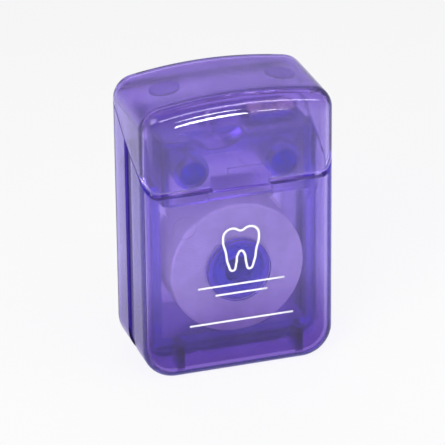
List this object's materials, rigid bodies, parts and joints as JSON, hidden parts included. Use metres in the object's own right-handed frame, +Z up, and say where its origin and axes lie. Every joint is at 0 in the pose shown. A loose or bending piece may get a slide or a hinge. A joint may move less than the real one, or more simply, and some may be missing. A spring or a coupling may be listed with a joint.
{
  "type": "dental floss dispenser",
  "caption": "Pocket dental floss dispenser with a translucent two-shell case, hinged flip cap, steel thread cutter and a floss bobbin inside.",
  "frame": {"origin": "middle of the underside", "axes": "+X to the right, -Y out of the front face, +Z up through the cap; the cap's hinge runs along X at the top of the rear face"},
  "size_m": [0.033, 0.0192, 0.0499],
  "materials": {
    "clear_shell": "translucent violet polypropylene, polished",
    "frame_plastic": "translucent deep violet polypropylene, semi-gloss",
    "cutter_steel": "stamped stainless sheet",
    "core_plastic": "moulded core, matt",
    "floss": "waxed nylon thread"
  },
  "bodies": {
    "casing": {"front_shell": "clear_shell", "rear_shell": "clear_shell", "inner_frame": "frame_plastic", "hinge_web": "clear_shell", "cutter": "cutter_steel", "floss_strand": "floss"},
    "cap": {"flip_cap": "clear_shell"},
    "bobbin": {"spool_core": "core_plastic", "floss_winding": "floss"}
  },
  "joints": [
    {"name": "cap_hinge", "type": "hinge", "parent": "casing", "child": "cap", "pos_m": [0, 0.0092, 0.0457], "axis": [-1, 0, 0], "range_deg": [0, 120]},
    {"name": "bobbin_spin", "type": "hinge", "parent": "casing", "child": "bobbin", "pos_m": [0, 0, 0.0181], "axis": [0, 1, 0], "continuous": true}
  ]
}
